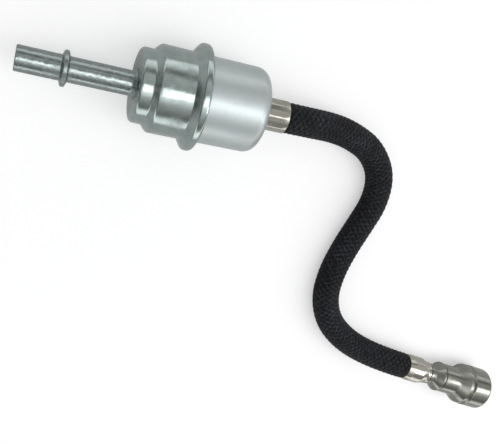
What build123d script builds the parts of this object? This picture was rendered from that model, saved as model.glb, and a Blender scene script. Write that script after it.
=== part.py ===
from build123d import *
import os
from math import pi, radians, tan

os.makedirs("parts", exist_ok=True)

# Inline fuel filter with its outlet hose. +X runs along the can from inlet to outlet, +Z is up,
# and the floor that the filter lies on is z = 0. Stations along the can are measured from the
# middle of its seam, and stations along the coupling from the hose's far end.

# Driving dimensions, in millimetres.
can_r = 16.8  # outside of both pressed shells
sheet = 0.8  # shell wall
inlet_len = 22.8  # seam to inlet face
outlet_len = 27.4  # seam to outlet face
nose_step = 2.6  # how far the nose is stepped in from the can
nose_len = 4.9
step_len = 2.4  # from the nose's root out to the can
nose_corner = 1.6
root_fillet = 1.2
shoulder_fillet = 1.8
outlet_corner = 4.8

ring_height = 3.85  # rolled seam's crest above the can
ring_foot = 3.2  # seam's inlet-side foot
crest_in = 0.6  # crest's start, on the inlet side
hem_face = 2.2  # hem's outlet-side face
hem_drop = 1.85  # hem's folded edge below the crest
hem_fillet = 1.25
foot_fillet = 1.2
flange_fillet = 2.0  # outlet shell's bend into the hem
gasket_height = 0.2  # sealing ring's inside above the can

tube_d = 9.525  # three-eighths inch fuel line
tube_wall = 0.96
tube_len = 42.7  # inlet face to tip
tip_chamfer = 0.5
bead_height = 1.94
bead_base = 3.0
bead_crest = 1.4
bead_from_tip = 17.15
collar_height = 1.44  # brazed collar on the inlet face
collar_len = 1.3
tube_inside = 1.2  # tube's end, past the shell's wall

stem_r = 3.5  # both hose stems
stem_wall = 0.5  # under the barbs
barb_depth = 0.4
barb_pitch = 2.6
barb_count = 3
spigot_step = 0.1  # spigot inside the can, above the stem
spigot_len = 7.6
nipple_flange_height = 3.0
nipple_flange = 1.2

element_gap = 1.8  # fuel's way round the element
pleat_count = 20
pleat_fold = 1.5  # radial depth of the paper at a fold
core_wall = 0.6
core_hole_d = 2.4
core_hole_rows = 6
core_holes_round = 6
cap_wall = 0.8
cap_skirt = 2.4
inlet_cap_gap = 8.5  # spring's space, shell face to end cap
seal_height = 2.6  # seal's thickness round the spigot
seal_len = 3.8
seal_neck = 0.2  # neck outside the core
seal_lip = 0.72
seal_lip_len = 1.5
spring_wire = 1.2
spring_inset = 3.3  # coil's middle inside the nose's inner wall
spring_turns = 3.5

liner_wall = 1.88
braid_wall = 0.9
hose_squeeze = 0.7  # how far a ferrule presses the hose in
crimped_braid = 0.5
ferrule_len = 11.0
ferrule_wall = 0.88
ferrule_back = 1.0
ferrule_chamfer = 0.3

end_ferrule_len = 14.0
end_ferrule_depth = 10.0
end_ferrule_mouth = 0.43  # walls at the mouth, the middle and the neck
end_ferrule_neck = 1.83
end_ferrule_swell = 3.2
end_ferrule_taper = 8.6
end_ferrule_shoulder = 12.3

stem_bead_height = 1.5
stem_bead_at = 14.2
stem_bead_len = 2.0
waist_height = 1.2
waist_end = 18.4
shoulder_height = 0.25  # rear shoulder above the O-ring housing
shoulder_at = 21.3
shoulder_len = 0.7
housing_wall = 0.9
housing_end = 31.4
flare_height = 2.95
flare_at = 35.9
body_end = 37.6
pilot_start = 19.4
pilot_cone = 2.0
pilot_clearance = 0.09
seal_depth = 1.3  # O-ring bore outside the pilot bore
seal_bore_start = 24.6
o_ring_len = 1.5
o_ring_corner = 0.6
spacer_len = 2.2
bush_flange_height = 1.75
bush_flange = 1.6
bush_lead_in = 0.6
bush_inset = 1.4  # bush flange's face, inside the body's end

bead_room = 2.75  # retainer shell's inside round the tube's bead
shell_wall = 0.8
shell_end = 49.7
shell_neck_step = 0.95  # groove behind the retainer shell
shell_groove = 0.8
shell_lip_fillet = 2.0
mouth_clearance = 0.5
retainer_len = 2.4
finger_sheet = 0.45
finger_reach = 5.4
finger_gap = 0.8
finger_count = 6
finger_slot = 1.6
finger_web = 0.6  # cone left whole at the fingers' roots
retainer_clearance = 0.03

press_gap = 0.02
running_gap = 0.06
seat_gap = 0.05

# Sizes and places that follow from them.
nose_r = can_r - nose_step
ring_r = can_r + ring_height
hem_r = ring_r - hem_drop
gasket_r = can_r + gasket_height
element_r = can_r - sheet - element_gap - cap_wall
spring_r = nose_r - sheet - spring_inset

tube_r = tube_d / 2
tube_bore = tube_d - 2 * tube_wall
bead_r = tube_r + bead_height
collar_r = tube_r + collar_height

stem_bore = stem_r - barb_depth - stem_wall
spigot_r = stem_r + spigot_step
seal_r = spigot_r + seal_height
seal_lip_r = spigot_r + running_gap + seal_lip
core_r = seal_lip_r + press_gap + core_wall
seal_neck_r = core_r + seal_neck

hose_bore_r = stem_r + press_gap
liner_r = hose_bore_r + liner_wall
hose_r = liner_r + braid_wall
crimped_r = hose_r - hose_squeeze
crimped_liner_r = crimped_r - crimped_braid
ferrule_r = crimped_r + press_gap + ferrule_wall
end_ferrule_mouth_r = crimped_r + press_gap + end_ferrule_mouth
end_ferrule_neck_r = stem_r + press_gap + end_ferrule_neck

stem_bead_r = stem_r + stem_bead_height
waist_r = stem_r + waist_height
pilot_r = tube_r + pilot_clearance
seal_bore_r = pilot_r + seal_depth
housing_r = seal_bore_r + housing_wall
shoulder_r = housing_r + shoulder_height
flare_r = housing_r + flare_height
bush_flange_r = seal_bore_r + bush_flange_height
shell_in_r = bead_r + bead_room
shell_r = shell_in_r + shell_wall
shell_neck_r = shell_r - shell_neck_step

axis_z = ring_r
seam_x = (inlet_len + tube_len - outlet_len - ferrule_len) / 2
inlet_face = -inlet_len
tip = inlet_face - tube_len
exit_x = seam_x + outlet_len + ferrule_len
coupling_z = max(shell_r, flare_r)
can_plane = Plane(origin=(seam_x, 0, axis_z), x_dir=(1, 0, 0), z_dir=(0, -1, 0))
can_axis = Axis(origin=(seam_x, 0, axis_z), direction=(1, 0, 0))

# The hose leaves the ferrule level, comes down to the floor and lies on it in an S.
hose_route = [
    (exit_x, 0, axis_z),
    (exit_x + 10.1, 0, axis_z),
    (exit_x + 25.6, -0.2, 14.6),
    (exit_x + 37.6, -2.4, 10.4),
    (exit_x + 49.1, -6.8, 7.4),
    (exit_x + 57.6, -16.6, hose_r),
    (exit_x + 58.4, -29.4, hose_r),
    (exit_x + 54.2, -41.4, hose_r),
    (exit_x + 49.9, -53.2, hose_r),
    (exit_x + 46.8, -65.4, hose_r),
    (exit_x + 46.6, -78.0, hose_r),
    (exit_x + 52.0, -89.4, hose_r),
    (exit_x + 62.1, -97.4, hose_r),
    (exit_x + 74.0, -102.6, hose_r),
    (exit_x + 87.3, -105.1, coupling_z),
    (exit_x + 97.2, -106.9, coupling_z),
]


def bend_radii(route):
    """Largest arc for each corner: 0.45 of the shorter run over the tangent of half the turn."""
    points = [Vector(*p) for p in route]
    runs = [b - a for a, b in zip(points, points[1:])]
    turns = [a.get_angle(b) for a, b in zip(runs, runs[1:])]
    shorter = [min(a.length, b.length) for a, b in zip(runs, runs[1:])]
    return [0.45 * s / tan(radians(t / 2)) for s, t in zip(shorter, turns)]


hose_radii = bend_radii(hose_route)
hose_end = Vector(*hose_route[-1])
coupling_dir = (hose_end - Vector(*hose_route[-2])).normalized()
coupling_plane = Plane(origin=hose_end, x_dir=coupling_dir, z_dir=coupling_dir.cross(Vector(0, 0, 1)))
coupling_axis = Axis(origin=hose_end, direction=coupling_dir)


def barbs(start, step):
    """Saw-tooth outline of a hose stem: each barb rises from its root to stem_r, then drops."""
    root = stem_r - barb_depth
    points = [(start, root)]
    for i in range(barb_count):
        crest_at = start + (i + 1) * barb_pitch * step
        points += [(crest_at, stem_r), (crest_at, root)]
    return points


# Can: two deep-drawn shells, joined by rolling the inlet shell's rim over the outlet shell's flange.
with BuildPart() as inlet_shell:
    with BuildSketch(can_plane):
        with BuildLine():
            FilletPolyline(
                (inlet_face, tube_r + press_gap),
                (inlet_face, nose_r),
                (inlet_face + nose_len, nose_r),
                (inlet_face + nose_len + step_len, can_r),
                (-ring_foot, can_r),
                (-crest_in, ring_r),
                (hem_face, ring_r),
                (hem_face, hem_r),
                radius=[nose_corner, root_fillet, shoulder_fillet, foot_fillet, hem_fillet, hem_fillet],
            )
            offset(amount=sheet, side=Side.RIGHT)
        make_face()
    revolve(axis=can_axis)
inlet_shell.part.label = "inlet_shell"
export_step(inlet_shell.part, "parts/inlet_shell.step")

flange_face = hem_face - sheet - press_gap
rim_r = ring_r - hem_fillet
with BuildPart() as outlet_shell:
    with BuildSketch(can_plane):
        with BuildLine():
            FilletPolyline(
                (flange_face, rim_r),
                (flange_face, can_r),
                (outlet_len, can_r),
                (outlet_len, stem_r + press_gap),
                radius=[flange_fillet, outlet_corner],
            )
            offset(amount=sheet, side=Side.RIGHT)
        make_face()
    revolve(axis=can_axis)
outlet_shell.part.label = "outlet_shell"
export_step(outlet_shell.part, "parts/outlet_shell.step")

# Sealing ring in the wedge between the two flanges.
slope = (ring_r - can_r) / (ring_foot - crest_in)
slope_run = (1 + slope**2) ** 0.5 / slope
gasket_face = flange_face - sheet - press_gap


def seam_inside(r):
    """Station of the sloping flange's inner surface at radius r."""
    return -ring_foot + (r - can_r) / slope + (sheet + press_gap) * slope_run


with BuildPart() as seam_gasket:
    with BuildSketch(can_plane):
        with BuildLine():
            Polyline(
                (seam_inside(gasket_r), gasket_r),
                (gasket_face, gasket_r),
                (gasket_face, rim_r),
                (seam_inside(rim_r), rim_r),
                close=True,
            )
        make_face()
    revolve(axis=can_axis)
seam_gasket.part.label = "seam_gasket"
export_step(seam_gasket.part, "parts/seam_gasket.step")

# Inlet tube: male quick-connect end with an upset bead, brazed into the inlet shell.
bead_at = tip + bead_from_tip
tube_end = inlet_face + sheet + tube_inside
with BuildPart() as inlet_tube:
    with BuildSketch(can_plane):
        with BuildLine():
            Polyline(
                (tip, tube_bore / 2),
                (tip, tube_r - tip_chamfer),
                (tip + tip_chamfer, tube_r),
                (bead_at - bead_base / 2, tube_r),
                (bead_at - bead_crest / 2, bead_r),
                (bead_at + bead_crest / 2, bead_r),
                (bead_at + bead_base / 2, tube_r),
                (inlet_face - collar_len, tube_r),
                (inlet_face - press_gap, collar_r),
                (inlet_face - press_gap, tube_r),
                (tube_end, tube_r),
                (tube_end, tube_bore / 2),
                close=True,
            )
        make_face()
    revolve(axis=can_axis)
    crest = inlet_tube.edges().filter_by(lambda e: e.geom_type == GeomType.CIRCLE).group_by(
        lambda e: e.radius
    )[-1]
    fillet(crest, bead_crest / 2 - 0.1)
inlet_tube.part.label = "inlet_tube"
export_step(inlet_tube.part, "parts/inlet_tube.step")

# Outlet nipple: spigot inside for the element's seal, flange on the shell's face, barbed stem outside.
nipple_flange_r = stem_r + nipple_flange_height
flange_end = outlet_len - sheet - press_gap
flange_start = flange_end - nipple_flange
barb_start = outlet_len + ferrule_back + 1
with BuildPart() as outlet_nipple:
    with BuildSketch(can_plane):
        with BuildLine():
            Polyline(
                (flange_start - spigot_len, stem_bore),
                (flange_start - spigot_len, spigot_r),
                (flange_start, spigot_r),
                (flange_start, nipple_flange_r),
                (flange_end, nipple_flange_r),
                (flange_end, stem_r),
                (barb_start, stem_r),
                *barbs(barb_start, 1),
                (barb_start + barb_count * barb_pitch, stem_bore),
                close=True,
            )
        make_face()
    revolve(axis=can_axis)
outlet_nipple.part.label = "outlet_nipple"
export_step(outlet_nipple.part, "parts/outlet_nipple.step")

# Filter element: pleated paper round a punched tube, between two end caps, seated on the nipple
# by a rubber seal and pushed there by a spring.
cap_start = inlet_face + sheet + inlet_cap_gap
seal_end = flange_start - seat_gap
seal_start = seal_end - seal_len
paper_start = cap_start + cap_wall
paper_end = seal_start - cap_wall
with BuildPart() as inlet_end_cap:
    with BuildSketch(can_plane):
        with BuildLine():
            Polyline(
                (cap_start, 0),
                (cap_start, element_r + press_gap + cap_wall),
                (cap_start + cap_skirt, element_r + press_gap + cap_wall),
                (cap_start + cap_skirt, element_r + press_gap),
                (cap_start + cap_wall - press_gap, element_r + press_gap),
                (cap_start + cap_wall - press_gap, 0),
                close=True,
            )
        make_face()
    revolve(axis=can_axis)
inlet_end_cap.part.label = "inlet_end_cap"
export_step(inlet_end_cap.part, "parts/inlet_end_cap.step")

with BuildPart() as outlet_end_cap:
    with BuildSketch(can_plane):
        with BuildLine():
            Polyline(
                (seal_start, seal_neck_r + press_gap),
                (seal_start, element_r + press_gap + cap_wall),
                (seal_start - cap_skirt, element_r + press_gap + cap_wall),
                (seal_start - cap_skirt, element_r + press_gap),
                (paper_end + press_gap, element_r + press_gap),
                (paper_end + press_gap, seal_neck_r + press_gap),
                close=True,
            )
        make_face()
    revolve(axis=can_axis)
outlet_end_cap.part.label = "outlet_end_cap"
export_step(outlet_end_cap.part, "parts/outlet_end_cap.step")

paper_plane = Plane(origin=(seam_x + paper_start, 0, axis_z), z_dir=(1, 0, 0))


def folds(outer, inner):
    """Corners of the pleats: outer and inner folds in turn, round the element."""
    half = 180 / pleat_count
    radii = [outer, inner] * pleat_count
    return [Vector(r, 0).rotate(Axis.Z, i * half) for i, r in enumerate(radii)]


with BuildPart() as element_pleats:
    with BuildSketch(paper_plane):
        with BuildLine():
            Polyline(*folds(element_r, core_r + press_gap + pleat_fold), close=True)
        make_face()
        with BuildLine():
            Polyline(*folds(element_r - pleat_fold, core_r + press_gap), close=True)
        make_face(mode=Mode.SUBTRACT)
    extrude(amount=paper_end - paper_start)
element_pleats.part.label = "element_pleats"
export_step(element_pleats.part, "parts/element_pleats.step")

core_len = paper_end - paper_start
with BuildPart() as element_core:
    with BuildSketch(paper_plane):
        Circle(core_r)
        Circle(core_r - core_wall, mode=Mode.SUBTRACT)
    extrude(amount=core_len)
    for row in range(core_hole_rows):
        row_x = seam_x + paper_start + core_len * (row + 0.5) / core_hole_rows
        with BuildSketch(Plane(origin=(row_x, 0, axis_z))) as hole:
            Circle(core_hole_d / 2)
        for i in range(core_holes_round // 2):
            turned = hole.sketch.rotate(can_axis, i * 360 / core_holes_round + row * 180 / core_holes_round)
            extrude(turned, amount=core_r + core_wall, both=True, mode=Mode.SUBTRACT)
element_core.part.label = "element_core"
export_step(element_core.part, "parts/element_core.step")

with BuildPart() as outlet_seal:
    with BuildSketch(can_plane):
        with BuildLine():
            Polyline(
                (paper_end - seal_lip_len, spigot_r + running_gap),
                (paper_end - seal_lip_len, seal_lip_r),
                (paper_end + press_gap, seal_lip_r),
                (paper_end + press_gap, seal_neck_r),
                (seal_start + press_gap, seal_neck_r),
                (seal_start + press_gap, seal_r),
                (seal_end, seal_r),
                (seal_end, spigot_r + running_gap),
                close=True,
            )
        make_face()
    revolve(axis=can_axis)
outlet_seal.part.label = "outlet_seal"
export_step(outlet_seal.part, "parts/outlet_seal.step")

spring_height = inlet_cap_gap - spring_wire - 2 * seat_gap
spring_start = seam_x + inlet_face + sheet + spring_wire / 2 + seat_gap
with BuildPart() as element_spring:
    with BuildLine():
        coil = Helix(
            pitch=spring_height / spring_turns,
            height=spring_height,
            radius=spring_r,
            center=(spring_start, 0, axis_z),
            direction=(1, 0, 0),
        )
    with BuildSketch(Plane(origin=coil @ 0, z_dir=coil % 0)):
        Circle(spring_wire / 2)
    sweep(is_frenet=True)
element_spring.part.label = "element_spring"
export_step(element_spring.part, "parts/element_spring.step")

# Ferrule that crimps the hose onto the outlet nipple.
with BuildPart() as outlet_ferrule:
    with BuildSketch(can_plane):
        with BuildLine():
            Polyline(
                (outlet_len + press_gap, stem_r + press_gap),
                (outlet_len + press_gap, ferrule_r),
                (outlet_len + ferrule_len, ferrule_r),
                (outlet_len + ferrule_len, crimped_r + press_gap),
                (outlet_len + ferrule_back, crimped_r + press_gap),
                (outlet_len + ferrule_back, stem_r + press_gap),
                close=True,
            )
        make_face()
    revolve(axis=can_axis)
    chamfer(outlet_ferrule.faces().sort_by(Axis.X)[0].edges().group_by(SortBy.LENGTH)[-1], ferrule_chamfer)
outlet_ferrule.part.label = "outlet_ferrule"
export_step(outlet_ferrule.part, "parts/outlet_ferrule.step")

# Hose: rubber liner under a textile overbraid, swept along one path and squeezed at both ends.
hose_start_plane = Plane(origin=hose_route[0], z_dir=(1, 0, 0))
hose_end_plane = Plane(origin=hose_end, z_dir=coupling_dir)
crimp_in = ferrule_len - ferrule_back - press_gap
crimp_out = end_ferrule_depth - press_gap
with BuildPart() as hose_liner:
    with BuildLine():
        hose_path = FilletPolyline(*hose_route, radius=hose_radii)
    with BuildSketch(hose_start_plane):
        Circle(liner_r)
        Circle(hose_bore_r, mode=Mode.SUBTRACT)
    sweep(path=hose_path)
    with BuildSketch(hose_start_plane):
        Circle(crimped_liner_r)
        Circle(hose_bore_r, mode=Mode.SUBTRACT)
    extrude(amount=-crimp_in)
    with BuildSketch(hose_end_plane):
        Circle(crimped_liner_r)
        Circle(hose_bore_r, mode=Mode.SUBTRACT)
    extrude(amount=crimp_out)
hose_liner.part.label = "hose_liner"
export_step(hose_liner.part, "parts/hose_liner.step")

with BuildPart() as hose_braid:
    with BuildLine():
        braid_path = FilletPolyline(*hose_route, radius=hose_radii)
    with BuildSketch(hose_start_plane):
        Circle(hose_r)
        Circle(liner_r, mode=Mode.SUBTRACT)
    sweep(path=braid_path)
    with BuildSketch(hose_start_plane):
        Circle(crimped_r)
        Circle(crimped_liner_r, mode=Mode.SUBTRACT)
    extrude(amount=-crimp_in)
    with BuildSketch(hose_end_plane):
        Circle(crimped_r)
        Circle(crimped_liner_r, mode=Mode.SUBTRACT)
    extrude(amount=crimp_out)
hose_braid.part.label = "hose_braid"
export_step(hose_braid.part, "parts/hose_braid.step")

# Quick-connect coupling on the hose's end.
with BuildPart() as end_ferrule:
    with BuildSketch(coupling_plane):
        with BuildLine():
            FilletPolyline(
                (0, crimped_r + press_gap),
                (0, end_ferrule_mouth_r),
                (end_ferrule_swell, ferrule_r),
                (end_ferrule_taper, ferrule_r),
                (end_ferrule_shoulder, end_ferrule_neck_r),
                (end_ferrule_len, end_ferrule_neck_r),
                (end_ferrule_len, stem_r + press_gap),
                radius=[0.3, 3, 3, 2, 0.3],
            )
            Polyline(
                (end_ferrule_len, stem_r + press_gap),
                (end_ferrule_depth, stem_r + press_gap),
                (end_ferrule_depth, crimped_r + press_gap),
                (0, crimped_r + press_gap),
            )
        make_face()
    revolve(axis=coupling_axis)
end_ferrule.part.label = "end_ferrule"
export_step(end_ferrule.part, "parts/end_ferrule.step")

stem_root = end_ferrule_depth - 1
bush_end = body_end - bush_inset
bush_flange_start = bush_end - bush_flange
with BuildPart() as coupling_body:
    with BuildSketch(coupling_plane):
        with BuildLine():
            FilletPolyline(
                (stem_root, stem_r - barb_depth),
                (stem_root, stem_r),
                (stem_bead_at, stem_r),
                (stem_bead_at, stem_bead_r),
                (stem_bead_at + stem_bead_len, stem_bead_r),
                (stem_bead_at + stem_bead_len + stem_bead_r - waist_r, waist_r),
                (waist_end, waist_r),
                (shoulder_at, shoulder_r),
                (shoulder_at + shoulder_len, shoulder_r),
                (shoulder_at + shoulder_len + shoulder_height, housing_r),
                (housing_end, housing_r),
                (flare_at, flare_r),
                (body_end, flare_r),
                (body_end, bush_flange_r + press_gap),
                radius=[0.1, 0.1, 0.4, 0.6, 0.3, 1.2, 0.4, 0.1, 0.1, 2.5, 0.9, 0.4],
            )
            Polyline(
                (body_end, bush_flange_r + press_gap),
                (bush_flange_start - press_gap, bush_flange_r + press_gap),
                (bush_flange_start - press_gap, seal_bore_r),
                (seal_bore_start, seal_bore_r),
                (seal_bore_start, pilot_r),
                (pilot_start, pilot_r),
                (pilot_start - pilot_cone, stem_bore),
                (stem_root - barb_count * barb_pitch, stem_bore),
                *reversed(barbs(stem_root, -1)),
            )
        make_face()
    revolve(axis=coupling_axis)
coupling_body.part.label = "coupling_body"
export_step(coupling_body.part, "parts/coupling_body.step")

# Seals: two O-rings with a spacer between them, held in by a flanged bush.
o_ring_in_r = tube_r + running_gap
inner_ring_at = seal_bore_start + press_gap
spacer_at = inner_ring_at + o_ring_len + press_gap
outer_ring_at = spacer_at + spacer_len + press_gap
bush_at = outer_ring_at + o_ring_len + press_gap
ring_wide = seal_bore_r - press_gap - o_ring_in_r
ring_mid_r = o_ring_in_r + ring_wide / 2
with BuildPart() as inner_o_ring:
    with BuildSketch(coupling_plane):
        with Locations((inner_ring_at + o_ring_len / 2, ring_mid_r)):
            RectangleRounded(o_ring_len, ring_wide, o_ring_corner)
    revolve(axis=coupling_axis)
inner_o_ring.part.label = "inner_o_ring"
export_step(inner_o_ring.part, "parts/inner_o_ring.step")

with BuildPart() as o_ring_spacer:
    with BuildSketch(coupling_plane):
        with Locations((spacer_at + spacer_len / 2, (pilot_r + seal_bore_r - press_gap) / 2)):
            Rectangle(spacer_len, seal_bore_r - press_gap - pilot_r)
    revolve(axis=coupling_axis)
o_ring_spacer.part.label = "o_ring_spacer"
export_step(o_ring_spacer.part, "parts/o_ring_spacer.step")

with BuildPart() as outer_o_ring:
    with BuildSketch(coupling_plane):
        with Locations((outer_ring_at + o_ring_len / 2, ring_mid_r)):
            RectangleRounded(o_ring_len, ring_wide, o_ring_corner)
    revolve(axis=coupling_axis)
outer_o_ring.part.label = "outer_o_ring"
export_step(outer_o_ring.part, "parts/outer_o_ring.step")

with BuildPart() as o_ring_bush:
    with BuildSketch(coupling_plane):
        with BuildLine():
            Polyline(
                (bush_at, pilot_r),
                (bush_at, seal_bore_r - press_gap),
                (bush_flange_start, seal_bore_r - press_gap),
                (bush_flange_start, bush_flange_r),
                (bush_end, bush_flange_r),
                (bush_end, pilot_r + bush_lead_in),
                (bush_end - bush_lead_in, pilot_r),
                close=True,
            )
        make_face()
    revolve(axis=coupling_axis)
o_ring_bush.part.label = "o_ring_bush"
export_step(o_ring_bush.part, "parts/o_ring_bush.step")

# Retainer shell, rolled in at its mouth, and the sprung fingers that lock behind the tube's bead.
shell_start = body_end + press_gap
mouth_r = bead_r + mouth_clearance
shell_step = shell_start + 2 * shell_groove
with BuildPart() as retainer_shell:
    with BuildSketch(coupling_plane):
        with BuildLine():
            FilletPolyline(
                (shell_start, shell_neck_r),
                (shell_start + shell_groove, shell_neck_r),
                (shell_step, shell_r),
                (shell_end, shell_r),
                (shell_end, mouth_r),
                radius=[0.3, 0.8, shell_lip_fillet],
            )
            FilletPolyline(
                (shell_end, mouth_r),
                (shell_end - shell_wall, mouth_r),
                (shell_end - shell_wall, shell_in_r),
                (shell_step, shell_in_r),
                (shell_start + shell_groove, shell_neck_r - shell_wall),
                (shell_start, shell_neck_r - shell_wall),
                (shell_start, shell_neck_r),
                radius=[0.05, shell_lip_fillet - shell_wall, 0.3, 0.3, 0.05],
            )
        make_face()
    revolve(axis=coupling_axis)
retainer_shell.part.label = "retainer_shell"
export_step(retainer_shell.part, "parts/retainer_shell.step")

retainer_r = shell_in_r - retainer_clearance
retainer_end = shell_end - shell_lip_fillet - retainer_clearance
finger_root = retainer_end - retainer_len
finger_tip = finger_root - finger_reach
finger_tip_r = tube_r + finger_gap
slot_plane = Plane(origin=coupling_plane.from_local_coords((finger_tip, 0, 0)), z_dir=coupling_dir)
with BuildPart() as locking_retainer:
    with BuildSketch(coupling_plane):
        with BuildLine():
            Polyline(
                (finger_tip, finger_tip_r),
                (finger_tip, finger_tip_r + finger_sheet),
                (finger_root, retainer_r),
                (retainer_end, retainer_r),
                (retainer_end, retainer_r - finger_sheet),
                (finger_root, retainer_r - finger_sheet),
                close=True,
            )
        make_face()
    revolve(axis=coupling_axis)
    with BuildSketch(slot_plane):
        with PolarLocations(shell_r / 2, finger_count):
            Rectangle(shell_r, finger_slot)
    extrude(amount=finger_reach - finger_web, mode=Mode.SUBTRACT)
locking_retainer.part.label = "locking_retainer"
export_step(locking_retainer.part, "parts/locking_retainer.step")

# The hose's path, its tightest arcs and its solids' volumes against section times length.
print("arc radii:", [round(r, 1) for r in hose_radii])
whole_hose = hose_path.length + crimp_in + crimp_out
print("hose length:", round(hose_path.length, 2), "and with its crimped ends", round(whole_hose, 2))
HOSE_SOLIDS = [
    ("liner", hose_liner.part, liner_r, hose_bore_r, crimped_liner_r, hose_bore_r),
    ("braid", hose_braid.part, hose_r, liner_r, crimped_r, crimped_liner_r),
]
for name, solid, outer, inner, crimped_outer, crimped_inner in HOSE_SOLIDS:
    free = pi * (outer**2 - inner**2) * hose_path.length
    crimped = pi * (crimped_outer**2 - crimped_inner**2) * (crimp_in + crimp_out)
    print(name, "volume", round(solid.volume, 1), "section times length", round(free + crimped, 1))
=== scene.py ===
from math import pi, radians

import bpy
import numpy as np
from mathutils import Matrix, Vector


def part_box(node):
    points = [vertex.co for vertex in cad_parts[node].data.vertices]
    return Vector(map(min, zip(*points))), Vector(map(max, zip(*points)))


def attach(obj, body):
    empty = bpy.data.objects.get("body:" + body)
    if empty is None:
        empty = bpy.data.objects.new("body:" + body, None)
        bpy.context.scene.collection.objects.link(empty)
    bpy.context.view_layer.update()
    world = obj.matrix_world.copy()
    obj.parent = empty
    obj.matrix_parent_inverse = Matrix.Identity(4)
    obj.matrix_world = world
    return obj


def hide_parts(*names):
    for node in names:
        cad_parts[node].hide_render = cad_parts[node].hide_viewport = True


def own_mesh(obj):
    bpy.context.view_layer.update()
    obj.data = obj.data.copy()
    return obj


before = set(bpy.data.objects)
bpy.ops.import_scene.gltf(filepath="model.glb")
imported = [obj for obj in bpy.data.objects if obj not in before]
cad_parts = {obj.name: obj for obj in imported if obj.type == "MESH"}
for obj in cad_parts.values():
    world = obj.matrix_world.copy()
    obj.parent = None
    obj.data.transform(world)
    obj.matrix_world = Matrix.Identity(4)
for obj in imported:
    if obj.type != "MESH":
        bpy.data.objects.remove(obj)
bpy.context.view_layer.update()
scene = bpy.context.scene


# Camera: a 50 mm lens about 28 cm above the can, looking steeply down on the filter as it lies on
# a bench, so that the inlet tube points to the upper left and the hose runs to the lower right.
camera = bpy.data.objects.new("camera", bpy.data.cameras.new("camera"))
camera.data.lens = 50
camera.data.sensor_width = 36
camera.data.clip_start = 0.01
camera.location = (-0.04898, 0.01689, 0.2839)
camera.rotation_euler = (radians(-16.93), radians(-16.76), radians(14.14))
scene.collection.objects.link(camera)
scene.camera = camera


# Hose: a rubber liner in a tight black textile overbraid, pushed onto the can's nipple and crimped.
# It leaves the ferrule level, comes down to the bench and lies on it in an S up to the coupling.
HOSE_ROUTE = [
    (0.05195, 0, 0.02065),
    (0.06205, 0, 0.02065),
    (0.07755, -0.0002, 0.0146),
    (0.08955, -0.0024, 0.0104),
    (0.10105, -0.0068, 0.0074),
    (0.10955, -0.0166, 0.0063),
    (0.11035, -0.0294, 0.0063),
    (0.10615, -0.0414, 0.0063),
    (0.10185, -0.0532, 0.0063),
    (0.09875, -0.0654, 0.0063),
    (0.09855, -0.0780, 0.0063),
    (0.10395, -0.0894, 0.0063),
    (0.11405, -0.0974, 0.0063),
    (0.12595, -0.1026, 0.0063),
    (0.13925, -0.1051, 0.0102525),
    (0.14915, -0.1069, 0.0102525),
]
BRAID_R = 0.00612
BRAID_BORE_R = 0.00544
BRAID_STEP = 0.00034
BRAID_RELIEF = 0.00034
CUT_TAPER = 0.0014
CUT_SQUEEZE = 0.0003
WALL_ROWS = 90


def route_line(name, route):
    """Points along the smooth NURBS line that has the route's points as its control points."""
    line = bpy.data.curves.new(name, "CURVE")
    line.dimensions = "3D"
    line.resolution_u = 40
    spline = line.splines.new("NURBS")
    spline.points.add(len(route) - 1)
    spline.points.foreach_set("co", np.c_[np.array(route), np.ones(len(route))].ravel())
    spline.order_u = 3
    spline.use_endpoint_u = True
    holder = bpy.data.objects.new(name, line)
    scene.collection.objects.link(holder)
    mesh = bpy.data.meshes.new_from_object(holder)
    co = np.empty(len(mesh.vertices) * 3)
    mesh.vertices.foreach_get("co", co)
    bpy.data.objects.remove(holder)
    bpy.data.curves.remove(line)
    bpy.data.meshes.remove(mesh)
    return co.reshape(-1, 3)


def even_points(points, step):
    """The line's points again, at equal steps of its length."""
    gone = np.r_[0, np.cumsum(np.linalg.norm(np.diff(points, axis=0), axis=1))]
    at = np.linspace(0, gone[-1], int(gone[-1] / step) + 1)
    return np.stack([np.interp(at, gone, points[:, k]) for k in range(3)], axis=1), at


def ring_mesh(name, co, closed_along=True, values=None):
    """A mesh from a grid of points, rows by turns. Each row is a closed ring. The last row joins the
    first when closed_along is true, and otherwise a flat face closes each end. values are grids of
    one number a point, kept as attributes."""
    rows, turns = co.shape[:2]
    index = np.arange(rows * turns).reshape(rows, turns)
    nxt = np.roll(index, -1, axis=0) if closed_along else index[1:]
    cur = index if closed_along else index[:-1]
    faces = np.stack([cur, nxt, np.roll(nxt, -1, axis=1), np.roll(cur, -1, axis=1)], axis=-1)
    mesh = bpy.data.meshes.new(name)
    ends = [] if closed_along else [index[0].tolist(), index[-1, ::-1].tolist()]
    mesh.from_pydata(co.reshape(-1, 3), [], faces.reshape(-1, 4).tolist() + ends)
    mesh.polygons.foreach_set("use_smooth", np.ones(len(mesh.polygons), bool))
    for key, value in (values or {}).items():
        attribute = mesh.attributes.new(key, "FLOAT", "POINT")
        attribute.data.foreach_set("value", np.asarray(value, np.float32).ravel())
    mesh.update()
    piece = bpy.data.objects.new(name, mesh)
    scene.collection.objects.link(piece)
    return piece


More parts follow.
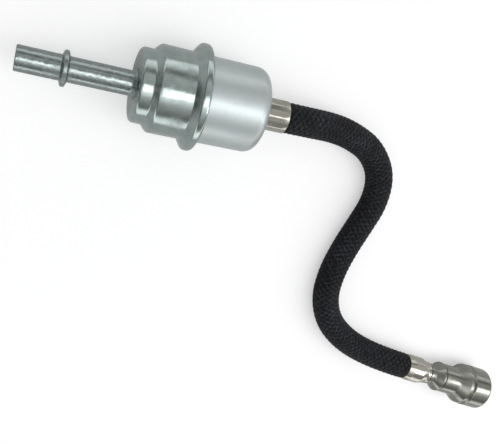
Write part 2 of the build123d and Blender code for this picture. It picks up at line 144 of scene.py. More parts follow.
def braided_hose(points, at, radius, inner_radius, strands, spacing, turns=144):
    """Tube along points whose outer surface is a plain braid. With a the angle and s the length
    along the hose, two families of strands lie at whole numbers of u = strands a / 2 pi + s / spacing
    and v = strands a / 2 pi - s / spacing. A strand's section is the arch 1 - (2 frac - 1)^2, and
    sin(pi u) sin(pi v) lifts one family and lowers the other at each crossing. The higher one shows.
    Each end is squeezed a little where it was cut, and the bore is a plain wall of fewer rows."""
    along = np.gradient(points, axis=0)
    along /= np.linalg.norm(along, axis=1, keepdims=True)
    side = np.cross(along, (0, 0, 1.0))
    side /= np.linalg.norm(side, axis=1, keepdims=True)
    up = np.cross(side, along)
    angle = np.arange(turns) * 2 * pi / turns
    u = strands * angle / (2 * pi) + at[:, None] / spacing
    v = strands * angle / (2 * pi) - at[:, None] / spacing
    weave = np.sin(pi * u) * np.sin(pi * v)
    lift = 0.45 * weave
    height_u = lift - (2 * (u % 1) - 1) ** 2
    height_v = -lift - (2 * (v % 1) - 1) ** 2
    height = np.clip(np.maximum(height_u, height_v) + 1, 0, None)
    to_end = np.minimum(at, at[-1] - at)[:, None]
    full = np.clip(to_end / CUT_TAPER, 0, 1)
    full = full * full * (3 - 2 * full)
    outer_r = radius - CUT_SQUEEZE * (1 - full) + (height - 1) * BRAID_RELIEF * (0.3 + 0.7 * full)
    wall_rows = np.linspace(0, len(points) - 1, WALL_ROWS).astype(int)[::-1]
    inner_r = np.full((len(wall_rows), turns), inner_radius)
    rows = np.r_[np.arange(len(points)), wall_rows]
    r = np.r_[outer_r, inner_r]
    co = points[rows, None] + r[..., None] * (
        np.cos(angle)[None, :, None] * side[rows, None] + np.sin(angle)[None, :, None] * up[rows, None]
    )
    values = {
        "lay": np.where(height_u > height_v, u, v)[rows],
        "crown": np.r_[height, inner_r * 0],
    }
    return ring_mesh("hose_overbraid", co, values=values)


hose_points, hose_at = even_points(route_line("hose_line", HOSE_ROUTE), BRAID_STEP)
hose = braided_hose(hose_points, hose_at, BRAID_R, BRAID_BORE_R, strands=11, spacing=0.0023)


def new_material(name):
    """An empty node material with one Principled shader, and its node tree."""
    material = bpy.data.materials.new(name)
    material.use_nodes = True
    tree = material.node_tree
    return material, tree, tree.nodes["Principled BSDF"]


def math_node(tree, operation, a, b=None, c=None):
    """A Math node on sockets or plain numbers."""
    node = tree.nodes.new("ShaderNodeMath")
    node.operation = operation
    for socket, value in zip(node.inputs, (a, b, c)):
        if isinstance(value, (int, float)):
            socket.default_value = value
        elif value is not None:
            tree.links.new(value, socket)
    return node.outputs[0]


def mix_colour(tree, factor, a, b):
    """A colour that goes from a to b with the factor socket. a and b are colours or sockets."""
    node = tree.nodes.new("ShaderNodeMix")
    node.data_type = "RGBA"
    tree.links.new(factor, node.inputs["Factor"])
    for socket, value in ((node.inputs[6], a), (node.inputs[7], b)):
        if isinstance(value, tuple):
            socket.default_value = (*value, 1)
        else:
            tree.links.new(value, socket)
    return node.outputs[2]


def noise(tree, vector, scale, detail=3.0, stretch=None):
    """Noise on a vector socket. stretch scales the vector first, so a large X makes rings round X."""
    if stretch is not None:
        mapping = tree.nodes.new("ShaderNodeMapping")
        mapping.inputs["Scale"].default_value = stretch
        tree.links.new(vector, mapping.inputs["Vector"])
        vector = mapping.outputs["Vector"]
    node = tree.nodes.new("ShaderNodeTexNoise")
    node.inputs["Detail"].default_value = detail
    if isinstance(scale, (int, float)):
        node.inputs["Scale"].default_value = scale
    else:
        tree.links.new(scale, node.inputs["Scale"])
    tree.links.new(vector, node.inputs["Vector"])
    return node.outputs["Fac"]


def bump_normal(tree, shader, height, distance, strength):
    """A Bump node from a height socket to the shader's normal."""
    node = tree.nodes.new("ShaderNodeBump")
    node.inputs["Strength"].default_value = strength
    node.inputs["Distance"].default_value = distance
    tree.links.new(height, node.inputs["Height"])
    tree.links.new(node.outputs["Normal"], shader.inputs["Normal"])


def overbraid_material():
    """Black textile: parallel yarns in each strand, painted shade where strands dive under each other,
    a little grey lint and wear on the crowns, partly a painted highlight on them, and a soft sheen."""
    material, tree, shader = new_material("black_overbraid")
    shadow, black = (0.0005, 0.0005, 0.0007), (0.0056, 0.0062, 0.0082)
    lint_and_highlight_grey = (0.048, 0.052, 0.062)
    yarns_per_strand = 4

    def attribute(name):
        node = tree.nodes.new("ShaderNodeAttribute")
        node.attribute_name = name
        return node.outputs["Fac"]

    lay, crown = attribute("lay"), attribute("crown")
    yarns = math_node(tree, "SINE", math_node(tree, "MULTIPLY", lay, 2 * pi * yarns_per_strand))
    place = tree.nodes.new("ShaderNodeTexCoord").outputs["Object"]
    lint = noise(tree, place, scale=900, detail=4.0)
    patch = noise(tree, place, scale=70, detail=2.0)
    # Painted shade: the base goes from the shadow tint in the weave's hollows to black on the raised
    # crowns.
    deep = math_node(tree, "POWER", math_node(tree, "MINIMUM", crown, 1.4), 2.0)
    raised = math_node(tree, "MULTIPLY", deep, 0.5)
    base = mix_colour(tree, raised, shadow, black)
    # Lint and wear on the crowns, partly a painted highlight: grey flecks along the yarns where light
    # catches them.
    lint_and_highlight = math_node(tree, "MULTIPLY_ADD", lint, 2.2, -1.45)
    lint_and_highlight = math_node(tree, "MULTIPLY_ADD", yarns, 0.34, lint_and_highlight)
    lint_and_highlight = math_node(tree, "MULTIPLY_ADD", patch, 0.9, lint_and_highlight)
    lint_and_highlight = math_node(tree, "MULTIPLY", math_node(tree, "MAXIMUM", lint_and_highlight, 0.0), deep)
    tree.links.new(mix_colour(tree, lint_and_highlight, base, lint_and_highlight_grey), shader.inputs["Base Color"])
    fluff = math_node(tree, "MULTIPLY", lint, 0.8)
    height = math_node(tree, "MULTIPLY_ADD", yarns, 0.5, fluff)
    bump_normal(tree, shader, height, distance=0.00009, strength=0.6)
    shader.inputs["Roughness"].default_value = 0.58
    shader.inputs["Specular IOR Level"].default_value = 0.14
    shader.inputs["Sheen Weight"].default_value = 0.03
    shader.inputs["Sheen Roughness"].default_value = 0.4
    return material


hose.data.materials.append(overbraid_material())
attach(hose, "can")
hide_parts("hose_braid")


# Inlet shell: a steel cup, deep-drawn in steps down to its nose and plated with bright zinc. Its rim
# is rolled outwards over the other shell's flange and folded down, which makes the seam's ring.
# Stations along the can are in millimetres from the seam, and positive towards the hose.
SHEET = 0.8
SEAM_TO_FACE = 22.8
NOSE_ROOT, SHOULDER = -17.9, -15.5
RING_FOOT, RING_CREST, HEM_FACE = -3.2, -0.6, 2.2
CAN_R, NOSE_R, RING_R, HEM_R = 16.8, 14.2, 20.65, 18.8
TUBE_R = 4.7625
BRAZE_GAP = 0.02
can_face, can_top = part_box("inlet_shell")
AXIS_Z = (can_face.z + can_top.z) / 2
SEAM_X = can_face.x + SEAM_TO_FACE / 1000


def surface_marks():
    """Group of a surface's marks. Mottle is soft cloudy grain, Lines are fine rings round X, Dull is
    sparse smudges, and Height joins grain and lines for a bump."""
    tree = bpy.data.node_groups.new("surface_marks", "ShaderNodeTree")
    tree.interface.new_socket("Vector", in_out="INPUT", socket_type="NodeSocketVector")
    tree.interface.new_socket("Grain Scale", in_out="INPUT", socket_type="NodeSocketFloat")
    given = tree.nodes.new("NodeGroupInput").outputs
    vector = given["Vector"]
    mottle = noise(tree, vector, given["Grain Scale"], detail=5.0)
    lines = noise(tree, vector, scale=1.0, detail=4.0, stretch=(5200, 90, 90))
    smudge = noise(tree, vector, scale=95)
    dull = math_node(tree, "MAXIMUM", math_node(tree, "SUBTRACT", smudge, 0.56), 0.0)
    dull = math_node(tree, "MULTIPLY", dull, 6.0)
    fine = noise(tree, vector, scale=1900, detail=2.0)
    height = math_node(tree, "MULTIPLY_ADD", lines, 0.5, math_node(tree, "MULTIPLY", mottle, 0.9))
    height = math_node(tree, "MULTIPLY_ADD", fine, 0.25, height)
    out = tree.nodes.new("NodeGroupOutput")
    for key, value in (("Mottle", mottle), ("Lines", lines), ("Dull", dull), ("Height", height)):
        tree.interface.new_socket(key, in_out="OUTPUT", socket_type="NodeSocketFloat")
        tree.links.new(value, out.inputs[key])
    return tree


MARKS = surface_marks()


def marked(tree, vector, grain):
    """The group of marks placed in a material, on that vector."""
    marks = tree.nodes.new("ShaderNodeGroup")
    marks.node_tree = MARKS
    marks.inputs["Grain Scale"].default_value = grain
    tree.links.new(vector, marks.inputs["Vector"])
    return marks


def metal(name, light, dark, gloss, dull, bump, grain, heading=0.0, centre=(0, 0, 0), coat=0.0):
    """Plated metal. light and dark are the grain's two tints, gloss and dull the roughness of clean
    and smudged metal, bump the depth of its marks and grain their scale. Lines go round an axis
    through centre, at that heading about Z, and coat is the weight of a clear lacquer."""
    material, tree, shader = new_material(name)
    coords = tree.nodes.new("ShaderNodeTexCoord")
    mapping = tree.nodes.new("ShaderNodeMapping")
    mapping.vector_type = "TEXTURE"
    mapping.inputs["Location"].default_value = centre
    mapping.inputs["Rotation"].default_value = (0, 0, heading)
    tree.links.new(coords.outputs["Object"], mapping.inputs["Vector"])
    marks = marked(tree, mapping.outputs["Vector"], grain)
    tint = mix_colour(tree, marks.outputs["Mottle"], dark, light)
    shade = math_node(tree, "MULTIPLY", marks.outputs["Dull"], 0.25)
    smudged = mix_colour(tree, shade, tint, tuple(c * 0.6 for c in dark))
    tree.links.new(smudged, shader.inputs["Base Color"])
    rough = math_node(tree, "MULTIPLY_ADD", marks.outputs["Dull"], dull - gloss, gloss)
    rough = math_node(tree, "MULTIPLY_ADD", marks.outputs["Lines"], 0.08, rough)
    tree.links.new(rough, shader.inputs["Roughness"])
    shader.inputs["Metallic"].default_value = 1.0
    shader.inputs["Coat Weight"].default_value = coat
    shader.inputs["Coat Roughness"].default_value = 0.08
    bump_normal(tree, shader, marks.outputs["Height"], bump, strength=0.35)
    return material


def rounded(corners, radii, across=7, support=0.06):
    """Outline through corners (x, r), each but the first and last rounded by its arc. An arc starts
    and ends radius x tan(turn / 2) from its corner, and a support run on each side keeps flats flat."""
    corners = np.array(corners, float)
    out = [corners[:1]]
    for before, corner, after, radius in zip(corners[:-2], corners[1:-1], corners[2:], radii):
        a = (before - corner) / np.linalg.norm(before - corner)
        b = (after - corner) / np.linalg.norm(after - corner)
        half = np.arccos(np.clip(a @ b, -1, 1)) / 2
        start, end = corner + a * radius / np.tan(half), corner + b * radius / np.tan(half)
        middle = corner + (a + b) / np.linalg.norm(a + b) * radius / np.sin(half)
        sweep = np.linspace(-1, 1, across) * (pi / 2 - half)
        inward = (corner - middle) / np.linalg.norm(corner - middle)
        side = (end - start) / np.linalg.norm(end - start)
        arc = middle + radius * (np.cos(sweep)[:, None] * inward + np.sin(sweep)[:, None] * side)
        out.append(np.vstack([start + a * support, arc, end + b * support]))
    return np.vstack([*out, corners[-1:]])


def pressed(corners, radii, wall, across=7):
    """Closed outline of sheet metal: the outer line, then the same line moved wall inwards, to the
    right of its travel. An arc that turns right gets smaller by the wall, and one that turns left
    larger."""
    corners = np.array(corners, float)
    runs = np.diff(corners, axis=0)
    runs /= np.linalg.norm(runs, axis=1, keepdims=True)
    normal = np.stack([runs[:, 1], -runs[:, 0]], axis=1)
    turn = np.cross(runs[:-1], runs[1:])
    mitre = (normal[:-1] + normal[1:]) / (1 + (normal[:-1] * normal[1:]).sum(1))[:, None]
    moved = [corners[:1] + wall * normal[0], corners[1:-1] + wall * mitre, corners[-1:] + wall * normal[-1]]
    inner = np.vstack(moved)
    inner_radii = np.array(radii) + np.where(turn > 0, wall, -wall)
    return np.vstack([rounded(corners, radii, across), rounded(inner, inner_radii, across)[::-1]])


def turned(name, outline, origin, heading=0.0, turns=192, ripple=None, step=0.6, hold=0.05):
    """Surface of revolution: the closed outline of (x, r) in mm, divided into steps and held straight
    by a point close to each corner, goes round the axis that leaves origin at that heading about Z.
    ripple adds to r at each x and angle. Angles run backwards, so that the faces point outwards."""
    outline = np.array(outline, float)
    loop = np.vstack([outline, outline[:1]])
    gaps = np.linalg.norm(np.diff(loop, axis=0), axis=1)
    gone = np.r_[0, np.cumsum(gaps)]
    spans = [(a, b) for a, b in zip(gone[:-1], gone[1:]) if b - a > 1e-4]
    inside = [np.linspace(a, b, max(2, int((b - a) / step) + 1))[:-1] for a, b in spans]
    held = [np.array([a + hold, b - hold]) for a, b in spans if b - a > 6 * hold]
    at = np.unique(np.concatenate(inside + held))
    x, r = np.interp(at, gone, loop[:, 0]), np.interp(at, gone, loop[:, 1])
    angle = np.arange(turns) * 2 * pi / turns
    radius = np.repeat(r[:, None], turns, axis=1)
    if ripple is not None:
        radius = radius + ripple(x[:, None], radius, angle[None, :])
    along = x[:, None] + 0 * angle
    across = radius * np.sin(angle)
    co = np.stack(
        [
            along * np.cos(heading) + across * np.sin(heading),
            along * np.sin(heading) - across * np.cos(heading),
            radius * np.cos(angle),
        ],
        axis=-1,
    )
    return ring_mesh(name, co[:, ::-1] / 1000 + np.array(origin))


def finish_metal(piece, material, body, node):
    """Gives a metal piece its finish, lets it ride on its body and stand for its CAD node."""
    piece.data.materials.append(material)
    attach(piece, body)
    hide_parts(node)


def drawn_ripple(x, r, angle):
    """Slight waves that drawing leaves in a shell's wall, at most 0.03 mm, and none at its centre."""
    wave = np.sin(3 * angle + 0.31 * x) + 0.6 * np.sin(7 * angle - 0.5 * x)
    wave = wave + 0.4 * np.sin(2 * angle + 1.1 * x)
    return 0.014 * wave * np.clip((r - 8) / 6, 0, 1)


inlet_outline = pressed(
    [
        (-SEAM_TO_FACE, TUBE_R + BRAZE_GAP),
        (-SEAM_TO_FACE, NOSE_R),
        (NOSE_ROOT, NOSE_R),
        (SHOULDER, CAN_R),
        (RING_FOOT, CAN_R),
        (RING_CREST, RING_R),
        (HEM_FACE, RING_R),
        (HEM_FACE, HEM_R),
    ],
    radii=[1.6, 1.2, 1.8, 0.5, 1.25, 1.25],
    wall=SHEET,
)
seam_origin = (SEAM_X, 0, AXIS_Z)
BRIGHT_ZINC = metal(
    "bright_zinc",
    light=(0.49, 0.56, 0.54),
    dark=(0.27, 0.325, 0.31),
    gloss=0.1,
    dull=0.34,
    bump=0.00012,
    grain=330.0,
)
inlet_shell = turned("inlet_shell_drawn", inlet_outline, seam_origin, ripple=drawn_ripple)
finish_metal(inlet_shell, BRIGHT_ZINC, "can", "inlet_shell")


# Outlet shell: the plain cup that closes the can, with a generous corner at its end. Its finish is a
# paler satin, and its flange is held in the seam.
FLANGE, OUTLET_FACE = 1.38, 27.4
FLANGE_R = 19.4
STEM_HOLE_R = 3.52
outlet_outline = pressed(
    [(FLANGE, FLANGE_R), (FLANGE, CAN_R), (OUTLET_FACE, CAN_R), (OUTLET_FACE, STEM_HOLE_R)],
    radii=[2.0, 4.8],
    wall=SHEET,
    across=12,
)
SATIN_ZINC = metal(
    "satin_zinc",
    light=(0.56, 0.61, 0.61),
    dark=(0.49, 0.54, 0.545),
    gloss=0.42,
    dull=0.5,
    bump=0.000012,
    grain=330.0,
    coat=0.5,
)
outlet_shell = turned("outlet_shell_drawn", outlet_outline, seam_origin, ripple=drawn_ripple)
finish_metal(outlet_shell, SATIN_ZINC, "can", "outlet_shell")


# Inlet tube: steel fuel line with an upset bead for a quick connector, brazed into the shell's face
# with a small fillet of filler, and plated together with the shell.
TIP, TUBE_END = -65.5, -20.8
BEAD_AT = TIP + 17.15
BEAD_R, BEAD_FOOT, BEAD_CREST = 6.70, 1.45, 0.75
TUBE_BORE_R = 3.80
FILLET_START, FILLET_FOOT, FILLET_R = -24.3, -22.82, 6.2
tube_outline = rounded(
    [
        (TIP, TUBE_BORE_R),
        (TIP, TUBE_R),
        (BEAD_AT - BEAD_FOOT, TUBE_R),
        (BEAD_AT - BEAD_CREST, BEAD_R),
        (BEAD_AT + BEAD_CREST, BEAD_R),
        (BEAD_AT + BEAD_FOOT, TUBE_R),
        (FILLET_START, TUBE_R),
        (FILLET_FOOT - 0.08, FILLET_R - 0.05),
        (FILLET_FOOT, FILLET_R),
        (FILLET_FOOT, TUBE_R),
        (TUBE_END, TUBE_R),
        (TUBE_END, TUBE_BORE_R),
    ],
    radii=[0.45, 0.35, 0.62, 0.62, 0.35, 1.0, 0.05, 0.01, 0.02, 0.2],
)


def tube_ripple(x, r, angle):
    """Faint dents of the plated tube, under 0.03 mm, and lumps of up to 0.12 mm on the brazed fillet."""
    dents = 0.012 * (np.sin(5 * angle + 2.3 * x) + np.sin(3 * angle - 1.7 * x) * np.sin(0.9 * x))
    on_fillet = (x < -SEAM_TO_FACE) * (r > TUBE_R + 0.05)
    fillet = np.clip((x - FILLET_START + 0.3) / 1.2, 0, 1) * on_fillet
    return dents + fillet * 0.12 * np.sin(6 * angle) * np.sin(2 * angle + 1)


TUBE_ZINC = metal(
    "tube_zinc",
    light=(0.41, 0.465, 0.455),
    dark=(0.17, 0.205, 0.195),
    gloss=0.14,
    dull=0.42,
    bump=0.0003,
    grain=700.0,
)
inlet_tube = turned("inlet_tube_plated", tube_outline, seam_origin, turns=128, ripple=tube_ripple)
finish_metal(inlet_tube, TUBE_ZINC, "can", "inlet_tube")


# Outlet ferrule: a drawn nickel-plated sleeve over the hose's end, squeezed by eight crimping jaws,
# which leave shallow flats along it with narrow ridges between them.
FERRULE_R, FERRULE_BORE_R = 6.5, 5.62
OUTSIDE_FROM_R = 5.9
FERRULE_START, FERRULE_END, FERRULE_FLOOR = 27.42, 38.4, 28.4


def crimp_ripple(start, end, depth, jaws=8):
    """Flats pressed into the outside from start to end, with a run-in of 1 mm at each: r goes down by
    depth x (1 - |cos(jaws angle / 2)|^6), which is zero on the ridges."""

    def ripple(x, r, angle):
        along = np.clip(x - start, 0, 1) * np.clip(end - x, 0, 1)
        flat = 1 - np.abs(np.cos(jaws * angle / 2)) ** 6
        return -depth * flat * along * (r > OUTSIDE_FROM_R)

    return ripple


ferrule_outline = rounded(
    [
        (FERRULE_START, STEM_HOLE_R),
        (FERRULE_START, FERRULE_R),
        (FERRULE_END, FERRULE_R),
        (FERRULE_END, FERRULE_BORE_R),
        (FERRULE_FLOOR, FERRULE_BORE_R),
        (FERRULE_FLOOR, STEM_HOLE_R),
    ],
    radii=[0.3, 0.18, 0.15, 0.1],
)
NICKEL = metal(
    "warm_nickel",
    light=(0.52, 0.51, 0.445),
    dark=(0.36, 0.352, 0.302),
    gloss=0.15,
    dull=0.38,
    bump=0.00003,
    grain=420.0,
)
crimps = crimp_ripple(start=29, end=37.4, depth=0.2)
outlet_ferrule = turned("outlet_ferrule_crimped", ferrule_outline, seam_origin, ripple=crimps)
finish_metal(outlet_ferrule, NICKEL, "can", "outlet_ferrule")


# End ferrule: the same kind of sleeve at the hose's far end, swaged down to the coupling's stem.
# Stations are measured along the coupling from the hose's end.
hose_end = np.array(HOSE_ROUTE[-1])
last_run = hose_end - np.array(HOSE_ROUTE[-2])
HEADING = float(np.arctan2(last_run[1], last_run[0]))
LIP_END, SWAGE_START, SWAGE_END = 3.2, 8.6, 12.3
SLEEVE_FLOOR, SLEEVE_END = 10.0, 14.0
LIP_R, SWAGED_R = 6.05, 5.35
end_outline = rounded(
    [
        (0, FERRULE_BORE_R),
        (0, LIP_R),
        (LIP_END, FERRULE_R),
        (SWAGE_START, FERRULE_R),
        (SWAGE_END, SWAGED_R),
        (SLEEVE_END, SWAGED_R),
        (SLEEVE_END, STEM_HOLE_R),
        (SLEEVE_FLOOR, STEM_HOLE_R),
        (SLEEVE_FLOOR, FERRULE_BORE_R),
    ],
    radii=[0.15, 3, 3, 2, 0.3, 0.1, 0.1],
)
COUPLING_FRAME = {"heading": HEADING, "centre": tuple(hose_end)}
END_NICKEL = metal(
    "end_nickel",
    light=(0.53, 0.51, 0.45),
    dark=(0.38, 0.366, 0.318),
    gloss=0.13,
    dull=0.36,
    bump=0.00003,
    grain=420.0,
    **COUPLING_FRAME,
)
swage = crimp_ripple(start=2.6, end=9.5, depth=0.16)
end_ferrule = turned("end_ferrule_swaged", end_outline, hose_end, HEADING, ripple=swage)
finish_metal(end_ferrule, END_NICKEL, "can", "end_ferrule")


# Coupling body: turned from steel bar, with a bead and waist behind a stepped housing for the
# O-rings, and flared at the end to hold the retainer's shell. It has a dull olive-grey plating.
STEM_START, STEM_STEP = 1.2, 9.0
STEM_ROOT_R, STEM_R, STEM_BORE_R = 3.1, 3.5, 2.6
STEM_BEAD_START, STEM_BEAD_END, STEM_BEAD_R = 14.45, 16.05, 5.1
WAIST_START, WAIST_END, WAIST_R = 16.45, 18.0, 4.3
REAR_SHOULDER_START, REAR_SHOULDER_END, REAR_SHOULDER_R = 21.0, 21.75, 7.3
GROOVE_START, GROOVE_END, GROOVE_R = 22.05, 22.45, 6.5
HOUSING_START, HOUSING_R, FLARE_R = 22.75, 7.05, 10.0
FLARE_START, FLARE_END, BODY_END = 31.4, 35.9, 37.6
BUSH_SEAT, BUSH_FLANGE_R = 34.58, 7.92
SEAL_FLOOR, SEAL_BORE_R = 24.6, 6.15
PILOT_FLOOR, PILOT_R, DRILL_POINT = 19.4, 4.85, 17.4
body_outside = [
    (STEM_STEP, STEM_ROOT_R),
    (STEM_STEP, STEM_R),
    (STEM_BEAD_START, STEM_R),
    (STEM_BEAD_START, STEM_BEAD_R),
    (STEM_BEAD_END, STEM_BEAD_R),
    (WAIST_START, WAIST_R),
    (WAIST_END, WAIST_R),
    (REAR_SHOULDER_START, REAR_SHOULDER_R),
    (REAR_SHOULDER_END, REAR_SHOULDER_R),
    (GROOVE_START, GROOVE_R),
    (GROOVE_END, GROOVE_R),
    (HOUSING_START, HOUSING_R),
    (FLARE_START, HOUSING_R),
    (FLARE_END, FLARE_R),
    (BODY_END, FLARE_R),
]
outside_radii = [0.1, 0.1, 0.3, 0.3, 0.2, 0.5, 0.3, 0.1, 0.08, 0.08, 0.15, 2.5, 0.6, 0.4]
body_inside = [
    (BODY_END, BUSH_FLANGE_R),
    (BUSH_SEAT, BUSH_FLANGE_R),
    (BUSH_SEAT, SEAL_BORE_R),
    (SEAL_FLOOR, SEAL_BORE_R),
    (SEAL_FLOOR, PILOT_R),
    (PILOT_FLOOR, PILOT_R),
    (DRILL_POINT, STEM_BORE_R),
    (STEM_START, STEM_BORE_R),
    (STEM_START, STEM_ROOT_R),
]
inside_radii = [0.15, 0.1, 0.1, 0.1, 0.1, 0.3, 0.3, 0.1]
body_outline = rounded(body_outside + body_inside, radii=outside_radii + inside_radii)
OLIVE_STEEL = metal(
    "olive_steel",
    light=(0.33, 0.333, 0.298),
    dark=(0.205, 0.208, 0.184),
    gloss=0.13,
    dull=0.4,
    bump=0.00004,
    grain=300.0,
    **COUPLING_FRAME,
)
coupling = turned("coupling_turned", body_outline, hose_end, HEADING)
finish_metal(coupling, OLIVE_STEEL, "can", "coupling_body")


# Retainer shell: a pressed cap in the same plating, fixed to the body's end and rolled in at the
# mouth, so that the sprung fingers inside can't come out.
CAP_START, CAP_NECK, CAP_STEP, MOUTH_IN, MOUTH = 37.62, 38.42, 39.22, 48.9, 49.7
NECK_R, NECK_BORE_R, CAP_R, CAP_BORE_R, MOUTH_R = 9.2, 8.5, 10.25, 9.45, 7.2
shell_outside = [
    (CAP_START, NECK_R),
    (CAP_NECK, NECK_R),
    (CAP_STEP, CAP_R),
    (MOUTH, CAP_R),
    (MOUTH, MOUTH_R),
]
shell_inside = [
    (MOUTH - 0.1, MOUTH_R - 0.05),
    (MOUTH_IN, MOUTH_R),
    (MOUTH_IN, CAP_BORE_R),
    (CAP_STEP, CAP_BORE_R),
    (CAP_NECK, NECK_BORE_R),
    (CAP_START, NECK_BORE_R),
]
shell_outline = np.vstack(
    [
        rounded(shell_outside, radii=[0.15, 0.6, 2.0], across=12),
        rounded(shell_inside, radii=[0.1, 1.2, 0.3, 0.3]),
    ]
)
retainer_shell = turned("retainer_shell_rolled", shell_outline, hose_end, HEADING)
finish_metal(retainer_shell, OLIVE_STEEL, "can", "retainer_shell")


# Outlet nipple: a turned steel stem, clamped in the outlet shell's end with its flange inside. Its
# barbs hold the hose, and its spigot carries the filter element's seal.

def finish_nodes(material, *nodes):
    """Gives its finish to each CAD node that stays as it is."""
    for node in nodes:
        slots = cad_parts[node].data.materials
        slots.clear()
        slots.append(material)


def plain_finish(name, colour, other, roughness, grain, metallic=0.0, bump=0.00001):
    """A finish of two close tints in a cloudy grain of that scale, with a slight bump from it."""
    material, tree, shader = new_material(name)
    coords = tree.nodes.new("ShaderNodeTexCoord")
    marks = marked(tree, coords.outputs["Object"], grain)
    tree.links.new(mix_colour(tree, marks.outputs["Mottle"], colour, other), shader.inputs["Base Color"])
    rough = math_node(tree, "MULTIPLY_ADD", marks.outputs["Mottle"], 0.15, roughness)
    tree.links.new(rough, shader.inputs["Roughness"])
    shader.inputs["Metallic"].default_value = metallic
    bump_normal(tree, shader, marks.outputs["Mottle"], bump, strength=1.0)
    return material


TINNED = plain_finish("tinned_steel", (0.55, 0.55, 0.53), (0.66, 0.66, 0.64), 0.25, 240.0, metallic=1.0)
finish_nodes(TINNED, "outlet_nipple")


# Seam gasket: a nitrile rubber ring in the wedge between the two flanges, squeezed as the rim is
# rolled over.
NITRILE = plain_finish("nitrile_rubber", (0.012, 0.012, 0.013), (0.02, 0.02, 0.02), 0.55, 500.0)
finish_nodes(NITRILE, "seam_gasket")


# Filter element: resin-treated paper, folded into pleats round a punched core of tinned steel, and
# bonded into a pressed cap at each end. A rubber seal in the outlet cap slides on the spigot.
PAPER = plain_finish("filter_paper", (0.55, 0.44, 0.20), (0.68, 0.57, 0.30), 0.85, 900.0, bump=0.00004)
FLUORO = plain_finish("fluoro_rubber", (0.020, 0.012, 0.009), (0.035, 0.02, 0.014), 0.42, 500.0)
finish_nodes(PAPER, "element_pleats")
finish_nodes(TINNED, "element_core", "inlet_end_cap", "outlet_end_cap")
finish_nodes(FLUORO, "outlet_seal")


# Element spring: spring-steel wire, coiled with closed ends, between the inlet shell's face and the
# element's end cap. It shortens as the element slides towards the inlet.
SPRING_R = 10.1
WIRE = 1.2
SPRING_SPACE = 8.5
SEAT_GAP = 0.05


def coil(name, start, wire, radius, length, origin, closed=0.75, turns=3.5, steps=260, around=20):
    """Wire along (x(t), R sin a, R cos a) with a = 2 pi t. Its lead x(t) is just over one wire a turn
    in the closed turns at each end, and even between them."""
    t = np.linspace(0, turns, steps)
    close = 1.04 * wire * closed
    lead = np.interp(t, [0, closed, turns - closed, turns], [0, close, length - close, length])
    a = 2 * pi * t
    line = np.stack([start + lead, radius * np.sin(a), radius * np.cos(a)], axis=1)
    along = np.gradient(line, axis=0)
    along /= np.linalg.norm(along, axis=1, keepdims=True)
    side = np.stack([0 * a, np.sin(a), np.cos(a)], axis=1)
    up = np.cross(side, along)
    b = np.arange(around) * 2 * pi / around
    ring = np.cos(b)[None, :, None] * side[:, None] + np.sin(b)[None, :, None] * up[:, None]
    co = line[:, None] + wire / 2 * ring
    return ring_mesh(name, co / 1000 + np.array(origin), closed_along=False)


spring_start = SHEET - SEAM_TO_FACE + WIRE / 2 + SEAT_GAP
spring_length = SPRING_SPACE - WIRE - 2 * SEAT_GAP
element_spring = coil("element_spring_coiled", spring_start, WIRE, SPRING_R, spring_length, seam_origin)
SPRING_STEEL = plain_finish(
    "spring_steel", (0.28, 0.28, 0.29), (0.38, 0.38, 0.39), 0.22, 700.0, metallic=1.0
)
finish_metal(element_spring, SPRING_STEEL, "can", "element_spring")
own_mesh(element_spring)


# Hose liner: an extruded nitrile tube that carries the fuel inside the overbraid. Its ends are pushed
# over the nipple's and the coupling's stems, under the ferrules, so it hardly shows.
LINER = plain_finish("liner_rubber", (0.012, 0.012, 0.012), (0.022, 0.022, 0.022), 0.5, 500.0)
finish_nodes(LINER, "hose_liner")


# Coupling's insides: two O-rings with a nylon spacer between them, held in by a flanged nylon bush,
# and a ring of sprung steel fingers that lock behind the mating tube's bead.
NYLON = plain_finish("nylon", (0.70, 0.67, 0.58), (0.78, 0.75, 0.66), 0.4, 300.0)
finish_nodes(FLUORO, "inner_o_ring", "outer_o_ring")
finish_nodes(NYLON, "o_ring_spacer", "o_ring_bush")
finish_nodes(SPRING_STEEL, "locking_retainer")


# Studio: a white bench top under a tent of soft light, which is bright overhead and low down on both
# sides and dim between them, with a softbox above the hose and a strip lamp beside the coupling.

def bench_material():
    """White paint. It glows a little where the camera sees it, and in what the metal reflects it carries
    a painted shade that gets darker far out past the inlet tube."""
    material, tree, shader = new_material("bench_white")
    shader.inputs["Roughness"].default_value = 0.9
    shader.inputs["Specular IOR Level"].default_value = 0.0
    shader.inputs["Emission Color"].default_value = (1, 1, 1, 1)
    seen = tree.nodes.new("ShaderNodeLightPath").outputs["Is Camera Ray"]
    tree.links.new(math_node(tree, "MULTIPLY", seen, 0.42), shader.inputs["Emission Strength"])
    place = tree.nodes.new("ShaderNodeTexCoord")
    parts = tree.nodes.new("ShaderNodeSeparateXYZ")
    tree.links.new(place.outputs["Object"], parts.inputs[0])
    # Painted shade: except for the camera's own rays, the white falls to 0.3 of itself far out towards -X.
    level = math_node(tree, "MULTIPLY_ADD", parts.outputs["X"], 2.2, 1.25)
    level = math_node(tree, "MAXIMUM", math_node(tree, "MINIMUM", level, 1.0), 0.3)
    level = math_node(tree, "MAXIMUM", level, seen)
    white = mix_colour(tree, level, (0.0, 0.0, 0.0), (0.6, 0.605, 0.605))
    tree.links.new(white, shader.inputs["Base Color"])
    return material


BENCH_REACH = 3
corners = [(-1, -1), (1, -1), (1, 1), (-1, 1)]
bench = bpy.data.meshes.new("bench")
bench.from_pydata([(x * BENCH_REACH, y * BENCH_REACH, 0) for x, y in corners], [], [(0, 1, 2, 3)])
bench.materials.append(bench_material())
bench_top = bpy.data.objects.new("bench_top", bench)
scene.collection.objects.link(bench_top)


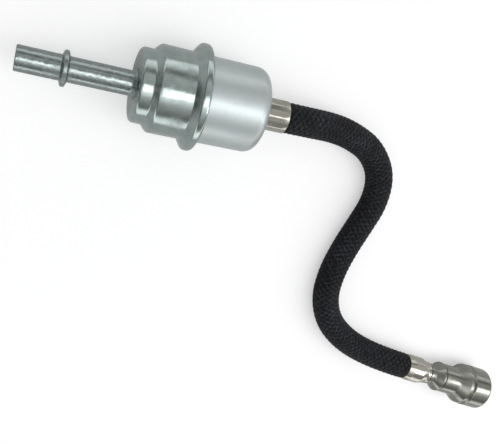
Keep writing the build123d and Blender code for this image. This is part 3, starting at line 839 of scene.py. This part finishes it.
# Light by lean, in degrees from straight up towards +Y.
TENT = [
    (-90, 1.35),
    (-82, 1.75),
    (-73, 1.6),
    (-67, 0.5),
    (-60, 0.24),
    (-46, 0.42),
    (-34, 0.56),
    (-25, 0.85),
    (-17, 1.4),
    (-11, 1.65),
    (0, 1.45),
    (4, 1.1),
    (11, 0.55),
    (28, 0.6),
    (41, 0.74),
    (50, 0.3),
    (57, 0.25),
    (63, 0.6),
    (70, 1.05),
    (78, 1.3),
    (90, 1.3),
]
TENT_TOP = 1.75


def tent_world():
    """Sky that shines by its lean atan2(y, z) across the can's axis, as TENT says, and is dim towards
    the inlet's end. The camera itself sees a plain pale backdrop."""
    world = bpy.data.worlds.new("studio")
    world.use_nodes = True
    tree = world.node_tree
    tree.nodes.clear()
    direction = tree.nodes.new("ShaderNodeTexCoord")
    parts = tree.nodes.new("ShaderNodeSeparateXYZ")
    tree.links.new(direction.outputs["Generated"], parts.inputs[0])
    lean = math_node(tree, "ARCTAN2", parts.outputs["Y"], parts.outputs["Z"])
    ramp = tree.nodes.new("ShaderNodeValToRGB")
    tree.links.new(math_node(tree, "MULTIPLY_ADD", lean, 1 / pi, 0.5), ramp.inputs["Fac"])
    stops = ramp.color_ramp.elements
    for degrees, _ in TENT[1:-1]:
        stops.new((degrees + 90) / 180)
    for stop, (degrees, level) in zip(stops, TENT):
        stop.position = (degrees + 90) / 180
        stop.color = (level / TENT_TOP,) * 3 + (1,)
    inlet_end = tree.nodes.new("ShaderNodeMapRange")
    inlet_end.interpolation_type = "SMOOTHSTEP"
    inlet_end.inputs["From Min"].default_value = -1.0
    inlet_end.inputs["From Max"].default_value = -0.6
    inlet_end.inputs["To Min"].default_value = 0.3
    inlet_end.inputs["To Max"].default_value = 1.0
    tree.links.new(parts.outputs["X"], inlet_end.inputs["Value"])
    tent = tree.nodes.new("ShaderNodeBackground")
    strength = math_node(tree, "MULTIPLY", inlet_end.outputs[0], TENT_TOP)
    tree.links.new(strength, tent.inputs["Strength"])
    tree.links.new(ramp.outputs["Color"], tent.inputs["Color"])
    backdrop = tree.nodes.new("ShaderNodeBackground")
    backdrop.inputs["Color"].default_value = (0.93, 0.94, 0.95, 1)
    seen = tree.nodes.new("ShaderNodeLightPath")
    choose = tree.nodes.new("ShaderNodeMixShader")
    tree.links.new(seen.outputs["Is Camera Ray"], choose.inputs["Fac"])
    tree.links.new(tent.outputs[0], choose.inputs[1])
    tree.links.new(backdrop.outputs[0], choose.inputs[2])
    output = tree.nodes.new("ShaderNodeOutputWorld")
    tree.links.new(choose.outputs[0], output.inputs["Surface"])
    return world


scene.world = tent_world()


def area_lamp(name, size, energy, place, turn):
    """A rectangular lamp that shines down its own -Z."""
    lamp = bpy.data.lights.new(name, "AREA")
    lamp.shape = "RECTANGLE"
    lamp.size, lamp.size_y = size
    lamp.energy = energy
    holder = bpy.data.objects.new(name, lamp)
    holder.location = place
    holder.rotation_euler = turn
    scene.collection.objects.link(holder)


area_lamp("softbox", size=(0.9, 0.3), energy=1.6, place=(0.25, 0.0, 0.9), turn=(0, radians(12), 0))
area_lamp(
    "side_strip", size=(0.2, 0.08), energy=0.18, place=(0.385, -0.105, 0.23), turn=(0, radians(43), 0)
)
scene.view_settings.view_transform = "Standard"
